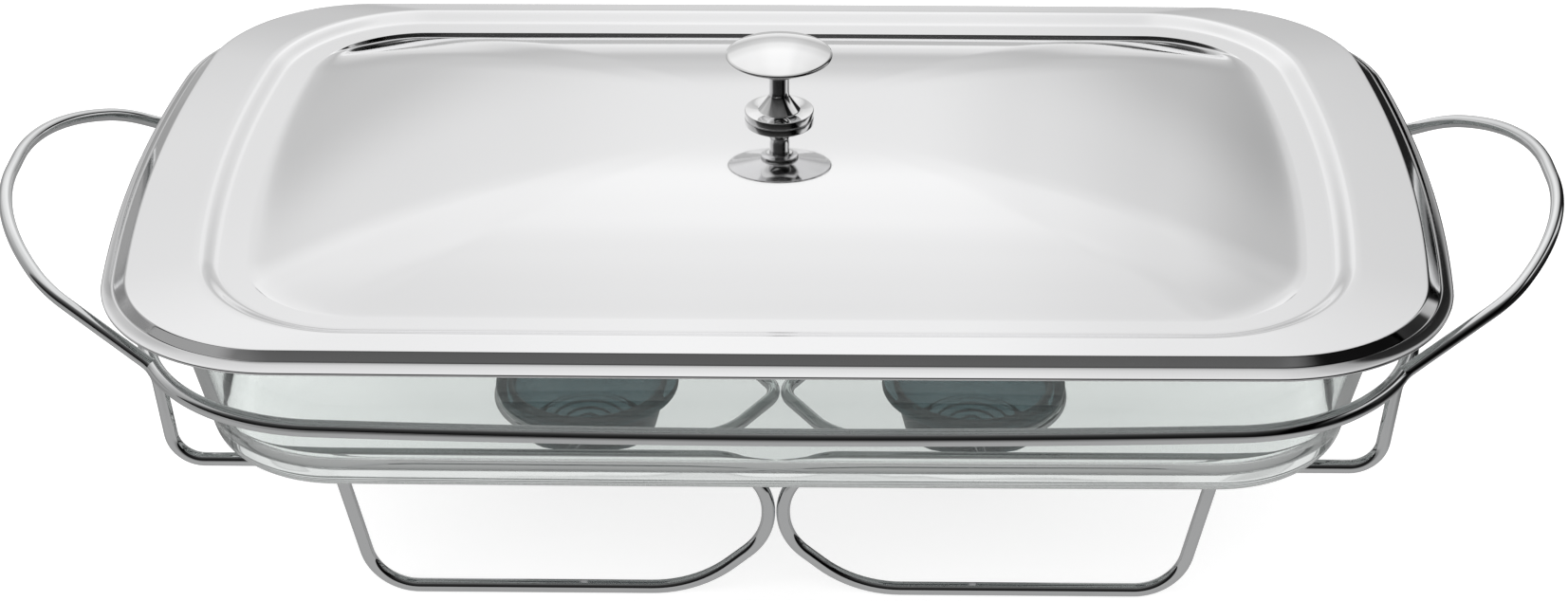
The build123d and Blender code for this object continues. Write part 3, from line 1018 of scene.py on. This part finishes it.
@dataclass
class LidKnob:
    """Turned knob: stem with a flared base and a domed cap, screwed on from below."""

    seat: float = 121.2 * MM
    base_radius: float = 10.3 * MM
    base_edge: float = 2.3 * MM
    flare_radius: float = 6.4 * MM
    flare_height: float = 5.0 * MM
    neck_radius: float = 3.0 * MM
    neck_top: float = 14.2 * MM
    collar_radius: float = 5.7 * MM
    collar_height: float = 2.2 * MM
    cap_radius: float = 15.8 * MM
    cap_rise: float = 3.0 * MM
    cap_edge: float = 1.2 * MM
    cap_crown: float = 2.9 * MM
    edge: float = 0.35 * MM
    flare_power: float = 1.25
    crown_inset: float = 0.7
    cone_start: Pair = (0.2 * MM, 0.05 * MM)
    hub_radius: float = 0.2 * MM
    crown_points: int = 40
    flare_points: int = 20
    segments: int = 160

    def build(self) -> None:
        """Make and dress stem and cap, and finish the hidden fasteners."""
        fit(self.make_stem(), TURNED_METAL, "lid", "knob_stem")
        fit(self.make_cap(), TURNED_METAL, "lid", "knob_cap")
        dress_node("knob_gasket", SOFT_GASKET)
        dress_node("knob_washer", BRIGHT_STEEL)
        dress_node("knob_screw", BRIGHT_STEEL)

    def _turned(self, name: str, profile: np.ndarray) -> Object:
        """Turn a profile whose heights start at the knob's seat."""
        loops = turned(profile + [0.0, self.seat], (0.0, 0.0), self.segments)
        return closed_loft(name, loops)

    def make_stem(self) -> Object:
        """Base disc with an eased edge, flare, neck and collar.

        At share h of its height the flare stands (1 - h) ** power of its spread off the neck.

        Returns:
            The stem.
        """
        edge, base, hub, neck = self.edge, self.base_radius, self.hub_radius, self.neck_radius
        collar, collar_low = self.collar_radius, self.neck_top
        flare_low, top = self.base_edge, self.neck_top + self.collar_height
        h = np.linspace(0, 1, self.flare_points)
        reach = neck + (self.flare_radius - neck) * (1 - h) ** self.flare_power
        profile = np.vstack([
            straight((hub, 0.0), (base - edge, 0.0), 4),
            arc((base - edge, edge), edge, -80, 0, 5),
            arc((base - edge, flare_low - edge), edge, 0, 80, 5),
            np.stack([reach, flare_low + self.flare_height * h], axis=-1),
            straight((neck, flare_low + self.flare_height), (neck, collar_low), 6)[1:],
            arc((collar - edge, collar_low + edge), edge, -85, 0, 5),
            arc((collar - edge, top - edge), edge, 0, 85, 5),
            straight((collar - 2 * edge, top), (hub, top), 3),
        ])
        return self._turned("knob_post", profile)

    def make_cap(self) -> Object:
        """Cone below, eased rim, and a crown that is part of a sphere.

        Returns:
            The cap.
        """
        low = self.neck_top + self.collar_height
        rim = low + self.cap_rise
        half = self.cap_edge / 2
        reach, hub = self.cap_radius - half * self.crown_inset, self.hub_radius
        sphere = (reach**2 + self.cap_crown**2) / (2 * self.cap_crown)
        radius = np.linspace(reach, hub, self.crown_points)
        crown = rim + self.cap_edge + np.sqrt(sphere**2 - radius**2) - (sphere - self.cap_crown)
        out, up = self.cone_start
        profile = np.vstack([
            straight((hub, low), (self.collar_radius, low), 3),
            straight((self.collar_radius + out, low + up), (self.cap_radius - half, rim), 12),
            arc((self.cap_radius - half, rim + half), half, -70, 70, 9),
            np.stack([radius, crown], axis=-1),
        ])
        return self._turned("knob_top", profile)


# Room


def bare_material(piece: Object, name: str) -> NodeTree:
    """Give a sheet of the room a new material without a shader.

    Args:
        piece: The sheet.
        name: Name of the material.

    Returns:
        The material's tree.
    """
    material = bpy.data.materials.new(name)
    material.use_nodes = True
    tree = material.node_tree
    tree.nodes.remove(tree.nodes["Principled BSDF"])
    piece.data.materials.append(material)
    return tree


def show_either(tree: NodeTree, choice: Any, off: Any, on: Any) -> None:
    """Show the surface as one shader where the choice is 0 and as another where it is 1."""
    both = add_node(tree, "MixShader", {"Fac": choice, 1: off, 2: on})
    set_inputs(tree, tree.nodes["Material Output"], {"Surface": both.outputs[0]})


def square_sheet(name: str, half: float, height: float) -> Object:
    """Level square sheet about the Z axis, its sides twice the given half."""
    corners = np.array([(-half, -half), (half, -half), (half, half), (-half, half)])
    return build_mesh(name, raised(corners, height), [np.array([[0, 1, 2, 3]])])


def put_up(data: ID, place: tuple[float, ...], turn: Quaternion) -> Object:
    """Make the object of a camera or lamp.

    Args:
        data: The camera or lamp.
        place: Where it stands, in metres.
        turn: How it is turned.

    Returns:
        The linked object.
    """
    item = bpy.data.objects.new(data.name, data)
    item.location = place
    item.rotation_mode = "QUATERNION"
    item.rotation_quaternion = turn
    bpy.context.scene.collection.objects.link(item)
    return item


@dataclass(frozen=True)
class Lamp:
    """Soft rectangular lamp that metal and glass don't show; its power is in watts."""

    name: str
    place: tuple[float, float, float]
    size: Pair
    power: float


@dataclass
class Studio:
    """Pale floor and white world, soft lamps, the two glowing sheets that paint the reflections in
    metal and glass, and the camera.

    A direction in the reflection dome has a tilt, 0 at the rear horizon, 90 overhead and 180 at the
    front horizon, and a lean, the X part of its unit vector. The levels of the painted reflections
    are set so that the metal and the glass look about as light as in the photograph.
    """

    camera_place: tuple[float, float, float] = (17.51 * MM, -860.73 * MM, 546.23 * MM)
    camera_pitch: float = 28.84
    camera_yaw: float = 1.081
    camera_roll: float = -0.198
    lens: float = 73.94
    sensor_width: float = 36.0
    shift_y: float = -0.02595
    floor_half: float = 6.0
    floor_tint: float = 0.5
    floor_glow: float = 0.79
    lamps: tuple[Lamp, ...] = (
        Lamp("lamp_top", (0.0, 0.25, 1.3), (1.4, 0.6), 6.0),
        Lamp("lamp_left", (-1.1, -0.5, 0.9), (0.6, 0.6), 3.0),
    )
    lamp_aim: float = 80.0 * MM
    # The dome and the ground sheet glow only for mirrored rays: they are painted reflections, and
    # the levels below paint them.
    reflection_dome_radius: float = 2.5
    reflection_dome_rows: int = 40
    reflection_dome_columns: int = 96
    tilt_levels: Pairs = (
        (-20, 0.60), (-8, 0.80), (2, 0.92), (7, 0.80), (13, 0.60), (20, 0.68), (28, 0.90),
        (40, 1.03), (55, 1.00), (70, 0.92), (85, 0.88), (98, 0.82), (106, 0.60), (115, 0.22),
        (125, 0.12), (140, 0.05), (155, 0.02), (170, 0.01), (185, 0.01),
    )
    lean_levels: Pairs = (
        (-1.0, 0.42), (-0.75, 0.60), (-0.55, 0.82), (-0.35, 0.90), (-0.2, 0.93),
        (-0.05, 1.0), (0.05, 1.0), (0.15, 0.90), (0.3, 0.80), (0.42, 0.62), (0.52, 0.45),
        (0.60, 0.03), (0.76, 0.02), (0.81, 0.75), (0.88, 0.75), (0.92, 0.05), (1.0, 0.03),
    )
    # Painted dark reflections in the dome in place of black flags: low at the rear, black at the
    # right, grey at the left.
    dark_reflection_tilts: Pairs = ((-20, 0.0), (6, 0.0), (8, 1.0), (185, 1.0))
    dark_reflection_leans: Pairs = (
        (-1.0, 0.48), (-0.47, 0.48), (-0.43, 1.0), (0.39, 1.0), (0.42, 0.0), (1.0, 0.0),
    )
    # Painted reflection of the floor, darker in front and at the right.
    ground_height: float = 0.1 * MM
    ground_sides: Pairs = (
        (-1.0, 0.38), (-0.50, 0.40), (-0.40, 0.80), (-0.25, 0.95), (0.22, 0.95), (0.34, 0.03),
        (1.0, 0.02),
    )
    ground_fill: Pairs = ((-1.0, 0.36), (-0.40, 0.36), (-0.22, 0.0), (1.0, 0.0))
    ground_levels: Pairs = (
        (-0.90, 0.07), (-0.50, 0.10), (-0.30, 0.26), (-0.16, 0.44), (-0.10, 0.44), (0.0, 0.30),
        (0.16, 0.30), (0.30, 0.36), (0.45, 0.50), (0.90, 0.56),
    )
    light_turns: int = 40

    def build(self) -> None:
        """Make the camera, the floor, the world, the lamps and the two sheets that paint
        reflections.
        """
        self.allow_turns()
        self.make_camera()
        self.make_floor()
        self.make_world()
        self.make_lamps()
        self.make_painted_reflection_dome()
        self.make_painted_ground_reflection()

    def allow_turns(self) -> None:
        """Let light cross the thick glass and run between the mirrors many times."""
        cycles = bpy.context.scene.cycles
        cycles.max_bounces = self.light_turns
        cycles.glossy_bounces = self.light_turns
        cycles.transmission_bounces = self.light_turns

    def make_camera(self) -> None:
        """Camera at the photograph's place, turned about its own axes by yaw, pitch and roll."""
        data = bpy.data.cameras.new("camera")
        data.lens = self.lens
        data.sensor_width = self.sensor_width
        data.shift_y = self.shift_y
        turn = Matrix.Identity(3)
        upright = 90.0 - self.camera_pitch
        for axis, angle in (("Z", self.camera_yaw), ("X", upright), ("Z", self.camera_roll)):
            turn = turn @ Matrix.Rotation(math.radians(angle), 3, axis)
        bpy.context.scene.camera = put_up(data, self.camera_place, turn.to_quaternion())

    def make_floor(self) -> None:
        """Pale floor that keeps the shadow and glows white to the camera and through glass.

        Light Path's Is Camera Ray, Is Glossy Ray and Is Transmission Ray turn the glow on. Where
        a mirror lies behind a ray, the glowing ground sheet hides the floor from it and paints its
        reflection.
        """
        tree = bare_material(square_sheet("floor", self.floor_half, 0.0), "pale_floor")
        tint = (self.floor_tint, self.floor_tint, self.floor_tint, 1.0)
        diffuse = add_node(tree, "BsdfDiffuse", {"Color": tint}).outputs[0]
        glow = add_node(tree, "Emission", {"Strength": self.floor_glow}).outputs[0]
        both = add_node(tree, "AddShader", {0: diffuse, 1: glow}).outputs[0]
        path = add_node(tree, "LightPath", {}).outputs
        seen = path["Is Camera Ray"]
        for kind in ("Is Glossy Ray", "Is Transmission Ray"):
            inputs = {0: seen, 1: path[kind]}
            seen = add_node(tree, "Math", inputs, operation="ADD", use_clamp=True).outputs[0]
        show_either(tree, seen, diffuse, both)

    @staticmethod
    def make_world() -> None:
        """Even white world at a level of 1."""
        world = bpy.data.worlds.new("studio")
        world.use_nodes = True
        bpy.context.scene.world = world
        white = {"Color": (1.0, 1.0, 1.0, 1.0), "Strength": 1.0}
        set_inputs(world.node_tree, world.node_tree.nodes["Background"], white)
        bpy.context.scene.view_settings.view_transform = "Standard"

    def make_lamps(self) -> None:
        """Two large soft lamps, one overhead to the rear and one at the upper left."""
        target = np.array([0.0, 0.0, self.lamp_aim])
        for lamp in self.lamps:
            data = bpy.data.lights.new(lamp.name, "AREA")
            data.shape = "RECTANGLE"
            data.size, data.size_y = lamp.size
            data.energy = lamp.power
            turn = Vector(target - lamp.place).to_track_quat("-Z", "Y")
            put_up(data, lamp.place, turn).visible_glossy = False

    def make_painted_reflection_dome(self) -> None:
        """Glowing dome round the set, which only mirrored rays show: it paints the reflections.

        The level is one ramp over the tilt, atan2(z, y), times one ramp over the lean, x / r.
        Painted dark reflections, in place of flags, hang low at the rear, black at the right and
        grey at
        the left: their level is the greater of a ramp over the tilt and one over the lean.
        """
        rise = arc((0.0, 0.0), self.reflection_dome_radius, -3, 90, self.reflection_dome_rows)
        loops = turned(rise, (0.0, 0.0), self.reflection_dome_columns)
        faces = [grid_faces(self.reflection_dome_rows, self.reflection_dome_columns, False)]
        tree, glow, place = self._cloth(build_mesh("painted_reflection_dome", loops.reshape(-1, 3), faces),
                                        "reflection_dome_glow")
        tilt = combine(tree, "ARCTAN2", place["Z"], place["Y"])
        lean = combine(tree, "DIVIDE", place["X"], self.reflection_dome_radius)
        parts = []
        for tilts, leans, operation in (
            (self.tilt_levels, self.lean_levels, "MULTIPLY"),
            (self.dark_reflection_tilts, self.dark_reflection_leans, "MAXIMUM"),
        ):
            upright = tuple((math.radians(angle), level) for angle, level in tilts)
            ramps = level_ramp(tree, tilt, upright), level_ramp(tree, lean, leans)
            parts.append(combine(tree, operation, *ramps))
        set_inputs(tree, glow, {"Strength": combine(tree, "MULTIPLY", *parts)})

    def make_painted_ground_reflection(self) -> None:
        """Painted reflection of the floor: a glowing grey sheet on it, which only mirrored rays
        show.

        The level is one ramp over Y times one over X, or a fill over X where that is greater.
        """
        sheet = square_sheet("painted_ground_reflection", self.reflection_dome_radius, self.ground_height)
        tree, glow, place = self._cloth(sheet, "painted_ground_reflection")
        along = level_ramp(tree, place["Y"], self.ground_levels)
        level = combine(tree, "MULTIPLY", along, level_ramp(tree, place["X"], self.ground_sides))
        level = combine(tree, "MAXIMUM", level, level_ramp(tree, place["X"], self.ground_fill))
        set_inputs(tree, glow, {"Strength": level})

    @staticmethod
    def _cloth(glow_sheet: Object, name: str) -> tuple:
        """Set up a glowing sheet that paints reflections: only rays with a mirror or glass behind
        them see it.

        Light Path's Glossy Depth chooses between a clear sheet and a glowing one.

        Args:
            glow_sheet: The sheet.
            name: Name of its material.

        Returns:
            The material's tree, its Emission node, and the outputs that hold X, Y and Z.
        """
        glow_sheet.visible_camera = glow_sheet.visible_diffuse = glow_sheet.visible_shadow = False
        tree = bare_material(glow_sheet, name)
        glow = add_node(tree, "Emission", {})
        clear = add_node(tree, "BsdfTransparent", {}).outputs[0]
        depth = add_node(tree, "LightPath", {}).outputs["Glossy Depth"]
        show_either(tree, depth, clear, glow.outputs[0])
        return tree, glow, add_node(tree, "SeparateXYZ", {0: object_place(tree)}).outputs


def main() -> None:
    """Build the dish, its stand and the room."""
    logging.basicConfig(level=logging.INFO, format="%(name)s: %(message)s")
    for part in (WireStand(), CandleCup(), GlassDish(), DomedLid(), LidKnob(), Studio()):
        part.build()


if __name__ == "__main__":
    main()
